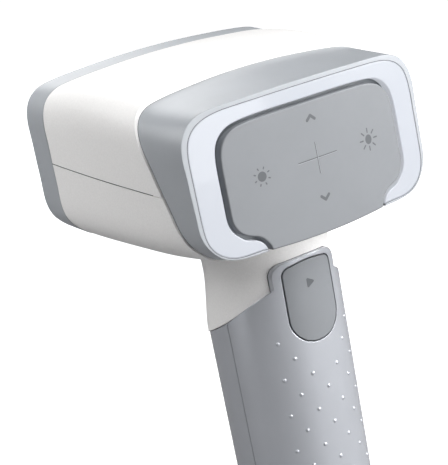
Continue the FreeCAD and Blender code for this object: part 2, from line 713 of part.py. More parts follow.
def make_key_board():
    """Board with four switches, their plungers and the posts behind it."""
    thick = dim("board_thick")
    plate = block(54.0, thick, 33.0, 0, KEY_BOARD_Y, -0.5)
    # a cross-shaped opening clears the gimbal and its bearings
    plate = plate.cut(block(40.0, 6, 9.6, 0, KEY_BOARD_Y - 2, 0))
    plate = plate.cut(block(26.0, 6, 18.0, 0, KEY_BOARD_Y - 2, 0))
    plate = drilled(plate, KEY_SCREWS, 1.3, KEY_BOARD_Y - 2, 6)
    feature("key_board", single(plate), REAR)

    switches = []
    for x, z in PUSHERS:
        width, height = (6.0, 5.2) if x == 0 else (5.2, 6.0)
        switch = block(width, 3.6, height, x, KEY_BOARD_Y - 3.62, z)
        switches.append(switch.cut(rod(1.35, 3.0, x, KEY_BOARD_Y - 3.7, z)))
    group_of("pad_switches", switches, REAR)
    for direction, (x, z) in zip(("up", "down", "right", "left"), PUSHERS):
        turned("pad_plunger_" + direction, facing(REAR, x, 3.95, z),
               [(0, 0), (1.25, 0), (1.25, 3.4), (0, 3.4)])
    post_y = KEY_BOARD_Y + thick + 0.02
    post_length = PLATE_Y - 0.08 - post_y
    group_of("key_board_posts", [rod(2.2, post_length, x, post_y, z)
                                 .cut(rod(0.9, 6, x, KEY_BOARD_Y, z)) for x, z in KEY_SCREWS], REAR)


make_control_pad()
make_gimbal()
make_pad_carrier()
make_key_board()

# ---------------------------------------------------------------- head shells
BAND_Y = -dim("band_depth")                     # seam behind the front band, in the front frame
BENCH_UPPER = [(-44.0, 14.0), (44.0, 14.0)]     # screws of the optical bench, front frame
BENCH_LOWER = [(-42.0, -23.0), (42.0, -23.0)]


def shell_solid(level, up):
    """One half of the white head, still solid."""
    half = WHITE.common(parting_block(level, up)).cut(collar_prism(GAP / 2))
    return single(half.cut(front_block(BAND_Y - GAP / 2, 60)))


def add_bench_bosses(shell, outer, places, up):
    """Square bosses with side fins, run out to the shell's surface and drilled."""
    size, depth, reach, y = 7.0, 10.0, 30.0, -36.5
    for x, z in places:
        foot = z - size / 2 if up else z + size / 2 - reach
        boss = Part.makeBox(size, depth, reach, Vector(x - size / 2, y, foot))
        fin_x = x - 3.5 if x > 0 else x - 8.5
        boss = boss.fuse(Part.makeBox(12.0, depth, size, Vector(fin_x, y, z - size / 2)))
        boss = moved(boss, FRONT_IN_HEAD).common(outer)
        shell = shell.fuse(drilled(boss, [(x, z)], PILOT, -38, 12, FRONT_IN_HEAD))
    return single(shell)


def make_head_shells():
    level = dim("parting_level")
    outer = shell_solid(level + GAP / 2, True)
    upper = add_bench_bosses(outer.cut(WHITE_IN), outer, BENCH_UPPER, True)
    feature("head_upper_shell", upper, HEAD)

    neck = moved(oval_loft(NECK_STATIONS).common(neck_cut(GAP / 2, True)), ROW_IN_HEAD)
    neck_inner = moved(oval_loft(NECK_STATIONS, 2.2), ROW_IN_HEAD)
    outer = shell_solid(level - GAP / 2, False)
    lower = outer.fuse(neck).cut(WHITE_IN).cut(neck_inner)
    # clearance for the grip's tab, in the rear wall of the neck only
    tab_space = tab_prism(0.1).common(Part.makeBox(80, 40, 200, Vector(-40, -52, 0)))
    lower = lower.cut(moved(tab_space, ROW_IN_HEAD))
    lower = add_bench_bosses(lower, outer, BENCH_LOWER, False)
    feature("head_lower_shell", lower, HEAD)


make_head_shells()

# ---------------------------------------------------------------- front bezel and front panel
LIP = dim("bezel_lip")
TEXTURE_Z = dim("texture_level")
CAMERAS = [(x, dim("camera_level")) for x in (-dim("camera_offset"), dim("camera_offset"))]
PROJECTOR = (0, dim("projector_level"))
TEXTURE = (0, TEXTURE_Z)
EMITTERS = [(x, TEXTURE_Z) for x in (-dim("emitter_offset"), dim("emitter_offset"))]


def make_front_bezel():
    to_front = FRONT_IN_HEAD.inverse()
    band = single(GREY.common(front_block(BAND_Y + GAP / 2, 0.0)))
    band = bevelled(band, ((0.9, 0.9),),
                    lambda e: lies_on(e, lambda p: to_front.multVec(p).y))
    # openings in front of and behind an inward flange with a narrower opening
    opening = grey_loft(LIP)
    flange_opening = grey_loft(LIP + 3.0)
    bezel = band.cut(opening.common(front_block(-3.3, 5.0)))
    bezel = bezel.cut(flange_opening.common(front_block(-5.5, 5.0)))
    bezel = bezel.cut(opening.common(front_block(-20.0, -5.0)))
    feature("front_bezel", single(bezel), HEAD)


def make_front_panel():
    clearance = 0.15        # round the panel's rim and in each of its holes
    face = -dim("window_recess")
    panel = grey_loft(LIP + clearance).common(front_block(face - dim("window_thick"), face))
    for places, alias in ((CAMERAS, "diffuser_outer"), ([PROJECTOR], "projector_barrel"),
                          ([TEXTURE], "texture_barrel"), (EMITTERS, "emitter_window")):
        panel = drilled(panel, places, dim(alias) + clearance, -12, 20, FRONT_IN_HEAD)
    feature("front_panel", single(panel), HEAD)


make_front_bezel()
make_front_panel()

# ---------------------------------------------------------------- optical bench and optics
BENCH_Y = -26.4                                 # rear face of the bench, in the front frame
BENCH_FRONT = BENCH_Y + dim("bench_thick")
SEAT_Y = BENCH_FRONT + 0.05                     # where the barrels stand on the bench
BENCH_Z = dim("bench_level")
BENCH_SCREWS = BENCH_UPPER + BENCH_LOWER
# Right-hand half of the bench outline, from the top down: front (x, z).
BENCH_HALF = [(37.0, 21.2), (43.0, 19.2), (47.2, 16.6), (48.9, 12.0), (49.5, 7.0),
              (49.5, -16.0), (47.2, -22.6), (43.6, -27.2), (36.0, -30.8)]


def make_bench():
    bench = new_body("optical_bench", facing(FRONT, 0, BENCH_Y, BENCH_Z))
    sketch = new_sketch(bench, "Sk_bench")
    outline = BENCH_HALF + [(-x, z) for x, z in reversed(BENCH_HALF)]
    add_polygon(sketch, [(x, down(z, BENCH_Z)) for x, z in outline])
    pad(bench, sketch, "bench_thick")
    sketch = new_sketch(bench, "Sk_bench_holes")
    # (place, radius, expression for x, alias of the level)
    for (x, z), radius, x_rule, level in (
            (CAMERAS[0], 7.2, "-Dims.camera_offset", "camera_level"),
            (CAMERAS[1], 7.2, "Dims.camera_offset", "camera_level"),
            (PROJECTOR, 10.2, None, "projector_level"),
            (TEXTURE, 3.6, None, "texture_level")):
        add_circle(sketch, x, down(z, BENCH_Z), radius, x_rule,
                   "Dims.bench_level - Dims." + level)
    for x, z in BENCH_SCREWS:
        add_circle(sketch, x, down(z, BENCH_Z), CLEAR)
    pocket_through(bench, sketch)
    screws("bench_screws", FRONT, BENCH_SCREWS, head_y=BENCH_FRONT + 0.02,
           shank_y=BENCH_Y - 4.97, shank_length=9.0)


def make_cameras():
    """Barrel flanged to the bench with its lens in front and its sensor board behind."""
    outer = dim("camera_barrel")
    sensor_y = BENCH_Y - 8.0
    thick = dim("board_thick")
    for hand, (x, z) in zip(("left", "right"), CAMERAS):
        seat = facing(FRONT, x, SEAT_Y, z)
        turned(hand + "_camera_barrel", seat,
               [(6.4, 0), (10.6, 0), (10.6, 2.5), (outer, 2.5), (outer, 20.3), (7.9, 20.3),
                (7.9, 14.0), (6.4, 14.0)])
        turned(hand + "_camera_lens", seat,
               [(0, 14.1), (7.8, 14.1), (7.8, 17.0), (7.1, 17.6), (5.4, 18.4), (3.2, 18.9),
                (0, 19.1)])
        board(hand + "_sensor_board", facing(FRONT, x, sensor_y, z), 24.0, 24.0,
              [(9.6, 9.6, 1.2), (-9.6, -9.6, 1.2), (9.6, -9.6, 1.2), (-9.6, 9.6, 1.2)])
        turned(hand + "_sensor_housing", facing(FRONT, x, sensor_y + thick + 0.05, z),
               [(5.2, 0), (10.4, 0), (10.4, 6.3), (5.2, 6.3)])
    group_of("image_sensors", [block(7.2, 1.0, 7.2, x, sensor_y + thick + 0.02, z)
                               for x, z in CAMERAS], FRONT)


def make_projector():
    x, z = PROJECTOR
    seat = facing(FRONT, x, SEAT_Y, z)
    outer = dim("projector_barrel")
    turned("projector_barrel", seat,
           [(9.6, 0), (14.0, 0), (14.0, 2.6), (outer, 2.6), (outer, 20.4), (10.7, 20.4),
            (10.7, 13.4), (9.6, 13.4)])
    turned("projector_lens", seat,
           [(0, 13.5), (10.6, 13.5), (10.6, 16.6), (9.6, 17.5), (7.0, 18.6), (4.0, 19.3),
            (0, 19.5)])
    engine = block(34.0, 22.0, 30.0, x, BENCH_Y - 22.05, z).cut(rod(9.6, 8.0, x, BENCH_Y - 8.0, z))
    # notches in the four front corners
    for dx, dz in ((-17, 15), (17, 15), (-17, -15), (17, -15)):
        engine = engine.cut(block(7.0, 15.0, 7.0, x + dx, BENCH_Y - 15.0, z + dz))
    feature("projector_engine", single(engine), FRONT)
    sink = block(30.0, 2.6, 28.0, x, BENCH_Y - 24.7, z)
    first_fin, fin_pitch = -13.65, 3.9
    for k in range(8):
        sink = sink.fuse(block(1.2, 6.0, 28.0, first_fin + fin_pitch * k, BENCH_Y - 30.0, z))
    feature("projector_heat_sink", single(sink.removeSplitter()), FRONT)


def make_texture_camera():
    """Small camera above the projector."""
    seat = facing(FRONT, TEXTURE[0], SEAT_Y, TEXTURE_Z)
    outer = dim("texture_barrel")
    turned("texture_camera", seat,
           [(0, 0), (5.8, 0), (5.8, 1.6), (outer, 1.6), (outer, 20.3), (4.1, 20.3),
            (4.1, 16.4), (0, 16.4)])
    turned("texture_camera_lens", seat,
           [(0, 16.45), (4.0, 16.45), (4.0, 18.2), (2.6, 18.9), (0, 19.2)])


def make_lights():
    """Infrared emitters beside the texture camera and fill lights round the cameras."""
    group_of("emitter_modules", [rod(4.0, 6.0, x, -11.0, z).fuse(rod(2.4, 1.2, x, -5.0, z))
                                 .removeSplitter() for x, z in EMITTERS], FRONT)
    group_of("emitter_windows", [rod(dim("emitter_window"), 2.0, x, -3.4, z)
                                 for x, z in EMITTERS], FRONT)
    outer, inner = dim("diffuser_outer"), dim("diffuser_inner")
    boards = [rod(outer - 0.3, 1.4, x, -8.0, z).cut(rod(inner + 0.2, 4, x, -9.0, z))
              for x, z in CAMERAS]
    boards += [block(12.0, 1.4, 10.0, x, -12.42, z) for x, z in EMITTERS]
    group_of("light_boards", boards, FRONT)
    group_of("fill_light_diffusers", [rod(outer, 2.2, x, -3.25, z).cut(rod(inner, 4, x, -4.5, z))
                                      for x, z in CAMERAS], FRONT)
    led_circle = 12.1       # radius of each ring of twelve LEDs
    angles = [math.radians(30 * k) for k in range(12)]
    group_of("fill_leds", [block(1.8, 0.9, 1.8, x + led_circle * math.cos(a), -6.58,
                                 z + led_circle * math.sin(a))
                           for x, z in CAMERAS for a in angles], FRONT)


make_bench()
make_cameras()
make_projector()
make_texture_camera()
make_lights()

# ---------------------------------------------------------------- main electronics
MAIN_Y = -64.4              # rear face of the main board, in the front frame
MAIN_Z = -4.0
MAIN_POSTS = [(-30.0, -20.5), (30.0, -20.5), (-30.0, 12.5), (30.0, 12.5)]
# Blocks on the main board: (width, depth, height, x, z).
CHIPS = [(16, 1.8, 16, -12, 2), (12, 1.8, 12, 12, 2), (9, 1.4, 14, 31, -6),
         (9, 1.4, 14, -31, -6), (8, 1.4, 8, 0, -16)]
BOARD_SOCKETS = [(14, 4.2, 5.0, -17, -20), (14, 4.2, 5.0, 17, -20)]


def make_electronics():
    board("main_board", facing(FRONT, 0, MAIN_Y, MAIN_Z), dim("main_width"), dim("main_height"),
          [(x, down(z, MAIN_Z), CLEAR) for x, z in MAIN_POSTS],
          rules=("Dims.main_width", "Dims.main_height"))
    board_front = MAIN_Y + dim("board_thick")
    group_of("board_components", [block(width, depth, height, x, board_front + 0.02, z)
                                  for width, depth, height, x, z in CHIPS + BOARD_SOCKETS], FRONT)
    feature("heat_spreader", block(46.0, 2.0, 20.0, 0, MAIN_Y + 3.45, 2.0), FRONT)
    post_y = board_front + 0.03
    post_length = BENCH_Y - 0.03 - post_y
    group_of("board_standoffs", [rod(2.4, post_length, x, post_y, z)
                                 .cut(rod(1.0, 60, x, MAIN_Y - 5, z)) for x, z in MAIN_POSTS],
             FRONT)
    screws("board_screws", FRONT, MAIN_POSTS, head_y=MAIN_Y - 1.52, shank_y=MAIN_Y - 0.5,
           shank_length=9.0, head=2.2, head_tall=1.5, shank=0.95)


make_electronics()

# ---------------------------------------------------------------- handle
CAP = dim("cap_height")
WALL = dim("grip_wall")
HANDLE_SCREWS = [(-14.0, 34.0), (14.0, 34.0), (-14.0, 112.0), (14.0, 112.0)]
# Columns of grip bumps: (x, height of the top bump).
BUMP_COLUMNS = [(0.0, 115.2), (5.53, 122.0), (-5.53, 122.0), (10.79, 129.2), (-10.79, 129.2),
                (15.02, 135.7), (-15.02, 135.7)]
BUMP_PITCH = 13.88
BUMP_LOWEST = 30.0
BUMP_RADIUS = 0.85
BUMP_SUNK = 0.45            # of a bump's centre below the grip surface


def grip_bumps():
    bumps = []
    power = dim("grip_power")
    for x, z in BUMP_COLUMNS:
        while z > BUMP_LOWEST:
            half, deep = grip_size(z)
            y = -deep * (1 - (abs(x) / half) ** power) ** (1.0 / power)
            outward = Vector(x / half ** 2, y / deep ** 2, 0)
            outward.normalize()
            centre = Vector(x - outward.x * BUMP_SUNK, y - outward.y * BUMP_SUNK, z)
            bumps.append(Part.makeSphere(BUMP_RADIUS, centre))
            z -= BUMP_PITCH
    return bumps


def make_handle_shells():
    parting = dim("grip_parting")
    grip = grip_solid(0.0, CAP, 172.0)
    void = grip_solid(WALL, CAP - 2.0, 176.0)
    below_neck = neck_cut(-GAP / 2, False)

    rear_half = grip.common(Part.makeBox(100, 60 + parting - GAP / 2, 220, Vector(-50, -60, 0)))
    rear_tab = rear_half.common(tab_prism(0.0))
    rear = rear_half.common(below_neck).fuse(rear_tab).cut(void)
    rear = single(rear.cut(button_prism(dim("button_gap"))).removeSplitter())
    bumpy = single(rear.fuse(grip_bumps()))
    # The fuse with the many small spheres can go wrong: the shell then stays smooth.
    if bumpy.isValid() and bumpy.Volume > rear.Volume:
        rear = bumpy
    for x, z in HANDLE_SCREWS:
        boss = rod(3.4, 15.5, x, -20.0, z).common(grip)
        rear = rear.fuse(boss.cut(rod(PILOT, 13.0, x, -17.0, z)))
    feature("handle_rear_shell", single(rear), ROW)

    front_space = Part.makeBox(100, 60, 220, Vector(-50, parting + GAP / 2, 0))
    front = single(grip.common(front_space).common(below_neck).cut(void))
    for x, z in HANDLE_SCREWS:
        front = front.fuse(rod(3.4, 28.0, x, -4.0, z).common(grip))
    for place in HANDLE_SCREWS:
        front = drilled(front, [place], CLEAR, -6.0, 32.0)
        front = drilled(front, [place], 2.7, 13.0, 17.0)        # sinks the screw head
    feature("handle_front_shell", single(front), ROW)
    screws("handle_screws", ROW, HANDLE_SCREWS, head_y=13.02, shank_y=-8.9, shank_length=22.0)


# Rounded foot of the end cap: (z, inset from the grip surface).
CAP_STATIONS = [(0.0, 1.9), (0.35, 1.15), (1.0, 0.55), (2.0, 0.15), (3.2, 0.0), (CAP - GAP, 0.0)]
BORE = dim("socket_bore")
SLEEVE = BORE + dim("socket_wall")
SOCKET_END = dim("socket_depth")


def make_end_cap():
    """End cap with its spigot and the socket hole."""
    stations = []
    for z, inset in CAP_STATIONS:
        half, deep = grip_size(z)
        stations.append((half - inset, deep - inset, z))
    cap = oval_loft(stations)
    spigot = grip_solid(WALL + 0.12, CAP - 1.0, CAP + 6.0)
    cap = cap.fuse(spigot.cut(grip_solid(WALL + 2.1, CAP - 3.0, CAP + 8.0)))
    cap = cap.cut(rod(SLEEVE + 0.06, 30, 0, 0, -5, ZAX))
    feature("handle_end_cap", single(cap.removeSplitter()), ROW)


def make_socket():
    insert_radius = 5.0
    seat = insert_radius + 0.05
    flange, flange_z = BORE + 4.0, CAP + 0.05
    turned("cable_socket", ROW,
           [(BORE, 0.0), (SLEEVE, 0.0), (SLEEVE, flange_z), (flange, flange_z),
            (flange, CAP + 1.6), (SLEEVE, CAP + 1.6), (SLEEVE, SOCKET_END + 3.0),
            (seat, SOCKET_END + 3.0), (seat, SOCKET_END), (BORE, SOCKET_END)])
    contact_circle = 3.0
    angles = [math.radians(60 * k) for k in range(6)]
    places = [(contact_circle * math.cos(a), contact_circle * math.sin(a)) for a in angles]
    insert = new_body("socket_insert", Placement(Vector(0, 0, SOCKET_END + 0.05), Rotation()))
    sketch = new_sketch(insert, "Sk_socket_insert")
    add_circle(sketch, 0, 0, insert_radius)
    for x, y in places:
        add_circle(sketch, x, y, 0.6)
    pad(insert, sketch, "insert_long")
    group_of("socket_contacts", [rod(0.55, 5.2, x, y, SOCKET_END + 0.4, ZAX)
                                 .cut(rod(0.3, 4.0, x, y, SOCKET_END + 0.3, ZAX))
                                 for x, y in places], ROW)


make_handle_shells()
make_end_cap()
make_socket()
# internal frame of the handle, a plate with three holes up its middle
board("handle_frame", facing(ROW, 0, 2.0, 74.0), 20.0, 100.0,
      [(0, 35.0, 4.0), (0, 0, 4.0), (0, -35.0, 4.0)], thick="frame_thick")


# ---------------------------------------------------------------- scan button and its switch
def make_scan_button():
    middle = (dim("button_top") + dim("button_foot")) / 2.0
    hollow = grip_solid(3.4, 118.0, 178.0)
    button = grip_solid(0.0, 120.0, 176.0).cut(hollow).common(button_prism(0.0))
    # a wider rim that stays behind the handle wall
    rim = grip_solid(WALL + 0.15, 120.0, 176.0).cut(hollow).common(button_prism(1.5))
    stem_y, stem_length = -24.2, 4.5
    stem = rod(2.4, stem_length, 0, stem_y, middle)
    feature("scan_button", single(button.fuse(rim).fuse(stem).removeSplitter()), ROW)

    board_y = -13.4
    board("button_board", facing(ROW, 0, board_y, middle), 18.0, 36.0,
          [(-6.6, 15.0, 1.2), (6.6, 15.0, 1.2), (-6.6, -15.0, 1.2), (6.6, -15.0, 1.2)])
    switch = block(7.0, 4.0, 7.0, 0, board_y - 4.02, middle)
    feature("scan_switch", switch.cut(rod(1.55, 3.2, 0, -17.5, middle)), ROW)
    turned("scan_switch_plunger", facing(ROW, 0, stem_y + stem_length + 0.05, middle),
           [(0, 0), (1.5, 0), (1.5, 4.4), (0, 4.4)])


make_scan_button()

# ---------------------------------------------------------------- check and write
doc.recompute()
os.makedirs("parts", exist_ok=True)
bad = []
for obj in doc.Objects:
    faults = [state for state in obj.State if state in ("Invalid", "Error")]
    if faults:
        bad.append(obj.Name + " " + ",".join(faults))
for obj in PARTS:
    shape = obj.Shape
    if shape.isNull() or not shape.isValid() or not shape.Solids:
        bad.append("shape " + obj.Label)
if bad:
    raise RuntimeError("bad objects: " + "; ".join(bad))
for obj in PARTS:
    obj.Shape.exportStep(os.path.join("parts", obj.Label + ".step"))
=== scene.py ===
"""Looks, stage and camera for a handheld scanner.

The scanner stands upright on z = 0, with its handle below and its head near z = 0.2 m.
+Z is up, +Y is the front, -Y is the rear (the side with the control pad), and +X is on
the right when seen from the rear. Scene units are metres; sizes on the pad and on the
grip are in millimetres.
"""
import json
import math

import bpy
import bmesh
from mathutils import Matrix, Vector


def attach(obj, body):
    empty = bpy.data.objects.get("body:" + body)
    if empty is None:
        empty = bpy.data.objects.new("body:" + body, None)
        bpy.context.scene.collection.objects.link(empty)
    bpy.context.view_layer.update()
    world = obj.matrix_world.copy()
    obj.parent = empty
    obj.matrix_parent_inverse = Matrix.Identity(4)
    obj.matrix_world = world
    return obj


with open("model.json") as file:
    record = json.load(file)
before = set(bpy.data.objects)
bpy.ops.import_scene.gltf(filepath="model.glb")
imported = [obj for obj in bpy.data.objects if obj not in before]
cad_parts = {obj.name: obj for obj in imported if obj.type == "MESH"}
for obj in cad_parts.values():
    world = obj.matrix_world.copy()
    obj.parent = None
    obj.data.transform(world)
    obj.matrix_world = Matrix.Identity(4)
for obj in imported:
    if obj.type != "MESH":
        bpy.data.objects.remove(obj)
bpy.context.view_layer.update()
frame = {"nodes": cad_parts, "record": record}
NODES = frame["nodes"]
MM = 0.001


# ------------------------------------------------------------------ shader helpers
def srgb(red, green, blue):
    """8-bit sRGB to a linear RGBA colour."""
    def linear(channel):
        channel = channel / 255.0
        if channel <= 0.04045:
            return channel / 12.92
        return ((channel + 0.055) / 1.055) ** 2.4
    return (linear(red), linear(green), linear(blue), 1.0)


def grey(level):
    return (level, level, level, 1)


def add_node(tree, kind, inputs=None, **settings):
    """Add a node. Each input is given a value, or a socket to link from."""
    node = tree.nodes.new(kind)
    for key, value in settings.items():
        setattr(node, key, value)
    for key, value in (inputs or {}).items():
        if isinstance(value, bpy.types.NodeSocket):
            tree.links.new(value, node.inputs[key])
        else:
            node.inputs[key].default_value = value
    return node


def camera_switch(tree, camera_ray, unseen, seen):
    """One colour for camera rays and another for all other rays."""
    # Sockets 6 and 7 are the colour inputs A and B, and output 2 is the colour result.
    inputs = {"Factor": camera_ray, 6: unseen, 7: seen}
    return add_node(tree, "ShaderNodeMix", inputs, data_type="RGBA").outputs[2]


class Surface:
    """A material around one Principled shader, textured in object coordinates."""

    def __init__(self, name, edge=0.0):
        """edge is the radius in metres of the rounding shaded onto sharp edges."""
        self.material = bpy.data.materials.new(name)
        self.material.use_nodes = True
        self.tree = self.material.node_tree
        self.tree.nodes.clear()
        output = self.node("ShaderNodeOutputMaterial")
        self.shader = self.node("ShaderNodeBsdfPrincipled")
        self.tree.links.new(self.shader.outputs["BSDF"], output.inputs["Surface"])
        self.coord = self.node("ShaderNodeTexCoord").outputs["Object"]
        self.normal = None
        if edge:
            bevel = self.node("ShaderNodeBevel", {"Radius": edge}, samples=4)
            self.normal = bevel.outputs["Normal"]

    def node(self, kind, inputs=None, **settings):
        return add_node(self.tree, kind, inputs, **settings)

    def feed(self, name, socket):
        """Link a socket to a named input of the shader."""
        self.tree.links.new(socket, self.shader.inputs[name])

    def noise(self, scale, detail=3.0, rough=0.5, stretch=None):
        inputs = {"Scale": scale, "Detail": detail, "Roughness": rough, "Vector": self.coord}
        texture = self.node("ShaderNodeTexNoise", inputs)
        if stretch:
            mapping = self.node("ShaderNodeMapping", {"Scale": stretch, "Vector": self.coord})
            self.tree.links.new(mapping.outputs["Vector"], texture.inputs["Vector"])
        return texture.outputs["Fac"]

    def ramp(self, factor, stops):
        """Colour ramp through (position, colour) stops."""
        node = self.node("ShaderNodeValToRGB", {"Fac": factor})
        elements = node.color_ramp.elements
        for element, (position, colour) in zip((elements[0], elements[1]), (stops[0], stops[-1])):
            element.position = position
            element.color = colour
        for position, colour in stops[1:-1]:
            elements.new(position).color = colour
        return node.outputs["Color"]

    def colour(self, base, factor, spread):
        """Base colour varied by a share of itself, darker to lighter, along a noise."""
        low = tuple(c * (1 - spread) for c in base[:3]) + (1.0,)
        high = tuple(min(1.0, c * (1 + spread)) for c in base[:3]) + (1.0,)
        self.feed("Base Color", self.ramp(factor, [(0.3, low), (0.7, high)]))

    def rough(self, value, factor=None, spread=0.06):
        """Roughness varied either side of a value along a noise."""
        if factor is None:
            factor = self.noise(scale=300.0)
        span = self.node("ShaderNodeMapRange", {
            "From Min": 0.3, "From Max": 0.7,
            "To Min": value - spread, "To Max": value + spread,
            "Value": factor,
        })
        self.feed("Roughness", span.outputs["Result"])

    def bump(self, height, strength, distance):
        inputs = {"Strength": strength, "Distance": distance, "Height": height}
        if self.normal is not None:
            inputs["Normal"] = self.normal
        self.normal = self.node("ShaderNodeBump", inputs).outputs["Normal"]

    def done(self, metallic=0.0, **values):
        """Set the plain shader inputs, named with _ for spaces, and give the material."""
        self.shader.inputs["Metallic"].default_value = metallic
        for key, value in values.items():
            self.shader.inputs[key.replace("_", " ")].default_value = value
        if self.normal is not None:
            self.feed("Normal", self.normal)
        return self.material


# ------------------------------------------------------------------ materials
VARIED_ROUGHNESS_FROM = 0.44  # plastics glossier than this get an even roughness


def moulded(name, rgb, rough, grain, bump, depth=0.00003, spread=0.03, edge=0.00035,
            speckle=0.0, **values):
    """Plastic with a fine grain; speckle replaces the broad colour variation."""
    surface = Surface(name, edge)
    grain_noise = surface.noise(scale=grain, detail=2.0, rough=0.6)
    if speckle:
        speckles = surface.noise(scale=grain * 0.8, detail=2.0, rough=0.7)
        surface.colour(srgb(*rgb), speckles, spread=speckle)
    else:
        surface.colour(srgb(*rgb), surface.noise(scale=60.0, detail=4.0), spread=spread)
    if rough > VARIED_ROUGHNESS_FROM:
        surface.rough(rough, surface.noise(scale=500.0))
    else:
        surface.shader.inputs["Roughness"].default_value = rough
    surface.bump(grain_noise, strength=bump, distance=depth)
    return surface.done(**values)


def metal(name, rgb, rough, stretch=(1, 40, 1)):
    """Metal whose grain is packed closer along the axes with a large stretch."""
    surface = Surface(name, edge=0.0002)
    grain_noise = surface.noise(scale=900.0, rough=0.6, stretch=stretch)
    surface.colour(srgb(*rgb), grain_noise, spread=0.08)
    surface.rough(rough, grain_noise, spread=0.08)
    surface.bump(grain_noise, strength=0.15, distance=0.00001)
    return surface.done(metallic=1.0)


def board_material(name):
    """Green circuit board with a fine brick pattern for its tracks."""
    surface = Surface(name)
    tracks = surface.node("ShaderNodeTexBrick", {
        "Scale": 420.0, "Mortar Size": 0.06,
        "Color1": srgb(16, 84, 52), "Color2": srgb(20, 96, 58), "Mortar": srgb(60, 140, 84),
        "Vector": surface.coord,
    })
    surface.feed("Base Color", tracks.outputs["Color"])
    surface.rough(0.35)
    surface.bump(tracks.outputs["Fac"], strength=0.2, distance=0.00002)
    return surface.done()


def lens_material(name):
    """Dark glass whose tint shifts from blue to violet to near black with the angle."""
    surface = Surface(name)
    facing = surface.node("ShaderNodeLayerWeight", {"Blend": 0.35}).outputs["Facing"]
    stops = [(0.0, srgb(20, 26, 70)), (0.45, srgb(60, 30, 90)), (1.0, srgb(12, 14, 20))]
    surface.feed("Base Color", surface.ramp(facing, stops))
    surface.rough(0.06, spread=0.02)
    return surface.done(Coat_Weight=1.0, Coat_Roughness=0.02, Specular_IOR_Level=0.8)


def ring_painted_glow_material(name):
    """Light guide with a painted glow: its emission stands in for the light falling on it."""
    surface = Surface(name, edge=0.0003)
    surface.colour(srgb(112, 116, 123), surface.noise(scale=40.0), spread=0.015)
    surface.shader.inputs["Roughness"].default_value = 0.34
    surface.bump(surface.noise(scale=1800.0, detail=2.0), strength=0.05, distance=0.00002)
    # Painted glow: emission in the ring's own pale tone lifts its brightness as lamplight would.
    glow = [(0.3, srgb(228, 232, 240)), (0.7, srgb(233, 236, 243))]
    surface.feed("Emission Color", surface.ramp(surface.noise(scale=30.0, detail=2.0), glow))
    return surface.done(Emission_Strength=0.52, Subsurface_Weight=0.12,
                        Subsurface_Radius=(0.002, 0.002, 0.002), Coat_Weight=0.2)


# Material slot to material.
MATERIALS = {
    "white_shell": moulded("white_shell_plastic", (238, 237, 236), rough=0.52, grain=1900.0,
                           bump=0.35, depth=0.00004, speckle=0.035),
    "grey_trim": moulded("grey_trim_plastic", (167, 171, 176), rough=0.38, grain=2400.0,
                         bump=0.12, depth=0.00002, edge=0.0004),
    "pale_ring": ring_painted_glow_material("light_guide_painted_glow"),
    "pad_grey": moulded("pad_plastic", (124, 127, 131), rough=0.48, grain=2200.0,
                        bump=0.08, depth=0.00002, edge=0.0003, spread=0.02),
    "grip_silver": moulded("grip_plastic", (192, 195, 201), rough=0.24, grain=2200.0,
                           bump=0.08, depth=0.00002, edge=0.0005, spread=0.02, metallic=0.5),
    "black_gloss": moulded("window_gloss", (10, 10, 13), rough=0.07, grain=900.0, bump=0.02,
                           depth=0.00001, edge=0.0003, Coat_Weight=1.0, Coat_Roughness=0.03),
    "black_plastic": moulded("black_moulding", (26, 26, 28), rough=0.5, grain=1500.0, bump=0.3),
    "lens_glass": lens_material("coated_lens"),
    "ir_window": moulded("filter_window", (48, 8, 14), rough=0.08, grain=900.0,
                         bump=0.02, depth=0.00001, Coat_Weight=1.0),
    "diffuser": moulded("opal_diffuser", (238, 236, 226), rough=0.55, grain=1300.0, bump=0.3),
    "aluminium": metal("machined_aluminium", (196, 198, 202), rough=0.34),
    "anodised": metal("anodised_black", (34, 34, 37), rough=0.42, stretch=(1, 1, 60)),
    "circuit_board": board_material("solder_mask"),
    "component_black": moulded("epoxy_package", (22, 22, 23), rough=0.6, grain=1300.0, bump=0.4),
    "led": moulded("led_phosphor", (238, 224, 150), rough=0.4, grain=1300.0,
                   bump=0.1, depth=0.00002),
    "steel": metal("plated_steel", (170, 170, 174), rough=0.3, stretch=(20, 20, 20)),
    "nickel": metal("nickel_plate", (190, 188, 182), rough=0.22, stretch=(1, 1, 50)),
    "gold": metal("gold_contact", (214, 172, 84), rough=0.24, stretch=(20, 20, 20)),
    "icon_grey": moulded("icon_print", (84, 87, 91), rough=0.55, grain=2600.0,
                         bump=0.2, depth=0.00002, edge=0),
    # Pale colour that paints the lit wall of the pad's engraved cross as a highlight.
    "icon_light": moulded("engraving_painted_highlight", (150, 153, 157), rough=0.55, grain=2600.0,
                          bump=0.2, depth=0.00002, edge=0),
    # Grey and dark colours for strips that paint the shade in seams and gaps.
    "seam_grey": moulded("seam_shadow", (112, 115, 120), rough=0.6, grain=1500.0,
                         bump=0.2, edge=0),
    "gap_dark": moulded("shadow_gap", (52, 54, 58), rough=0.7, grain=1500.0, bump=0.2, edge=0),
}

slot_of = {part["node"]: part["material_slot"] for part in frame["record"]["subparts"]}
for name, obj in NODES.items():
    obj.data.materials.clear()
    obj.data.materials.append(MATERIALS[slot_of[name]])


# ------------------------------------------------------------------ flat pieces
def piece(name, faces, material, body, weld=0.0):
    """A mesh from lists of corner points, one list per face, riding on a body."""
    mesh = bpy.data.meshes.new(name)
    bm = bmesh.new()
    for points in faces:
        bm.faces.new([bm.verts.new(point) for point in points])
    if weld:
        bmesh.ops.remove_doubles(bm, verts=bm.verts, dist=weld)
    bmesh.ops.recalc_face_normals(bm, faces=bm.faces)
    bm.to_mesh(mesh)
    bm.free()
    obj = bpy.data.objects.new(name, mesh)
    bpy.context.scene.collection.objects.link(obj)
    mesh.materials.append(material)
    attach(obj, body)


